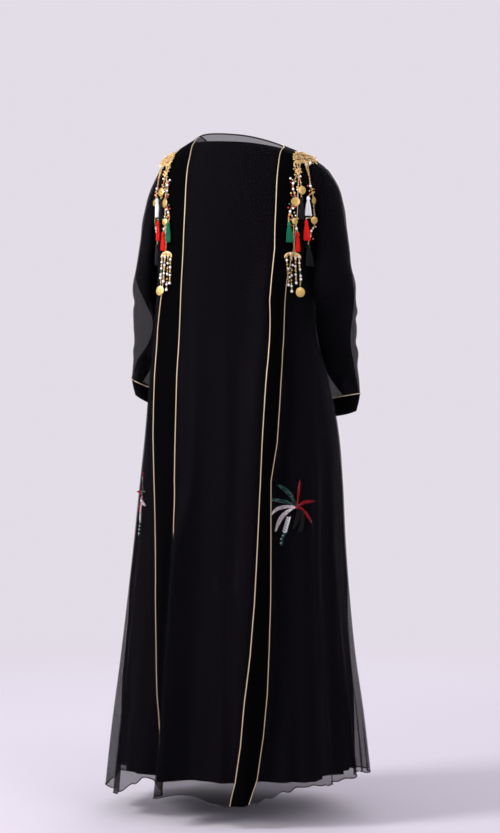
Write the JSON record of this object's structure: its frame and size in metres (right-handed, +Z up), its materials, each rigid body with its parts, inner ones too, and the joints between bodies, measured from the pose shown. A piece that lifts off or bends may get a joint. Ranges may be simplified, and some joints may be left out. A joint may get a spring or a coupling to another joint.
{
  "type": "abaya",
  "caption": "Long black abaya, worn shape and hollow: sheer chiffon over a lining, velvet bands with gold piping, velvet cuffs, hung shoulder ornaments and beaded palm sprays.",
  "frame": {"origin": "midway between the two ends of the neckline, on the wearer's shoulders", "axes": "+Z up along the wearer, -Y out of the front, +X to the wearer's left"},
  "size_m": [0.5864, 0.4756, 1.431],
  "materials": {
    "chiffon": "sheer crinkled chiffon, black",
    "lining": "plain black lining",
    "velvet": "black velvet",
    "piping": "pale gold twisted cord",
    "gold": "gold-coloured metal and pearls",
    "white_thread": "silky thread",
    "black_thread": "silky thread",
    "green_thread": "silky thread",
    "red_thread": "silky thread",
    "beads": "glass beads and sequins in green, white, red and black"
  },
  "bodies": {
    "root": {"back_panel": "chiffon", "lining_back": "lining", "front_left": "chiffon", "sleeve_left": "chiffon", "cuff_left": "velvet", "band_left": "velvet", "piping_left_inner": "piping", "piping_left_outer": "piping", "cuff_piping_left": "piping", "lining_front_left": "lining", "sleeve_lining_left": "lining", "epaulette_left": "gold", "strand_inner_left": "gold", "strand_outer_left": "gold", "crescent_left": "gold", "palm_leaves_left": "beads", "palm_stem_left": "beads", "coin_left_1": "gold", "coin_left_2": "gold", "coin_left_3": "gold", "coin_left_4": "gold", "coin_left_5": "gold", "coin_left_6": "gold", "tassel_left_1": "white_thread", "tassel_left_2": "black_thread", "tassel_left_3": "green_thread", "tassel_left_4": "red_thread", "tassel_left_5": "red_thread", "tassel_left_6": "black_thread", "front_right": "chiffon", "sleeve_right": "chiffon", "cuff_right": "velvet", "band_right": "velvet", "piping_right_inner": "piping", "piping_right_outer": "piping", "cuff_piping_right": "piping", "lining_front_right": "lining", "sleeve_lining_right": "lining", "epaulette_right": "gold", "strand_inner_right": "gold", "strand_outer_right": "gold", "crescent_right": "gold", "palm_leaves_right": "beads", "palm_stem_right": "beads", "coin_right_1": "gold", "coin_right_2": "gold", "coin_right_3": "gold", "coin_right_4": "gold", "coin_right_5": "gold", "coin_right_6": "gold", "tassel_right_1": "white_thread", "tassel_right_2": "black_thread", "tassel_right_3": "green_thread", "tassel_right_4": "red_thread", "tassel_right_5": "red_thread", "tassel_right_6": "black_thread"}
  },
  "joints": []
}
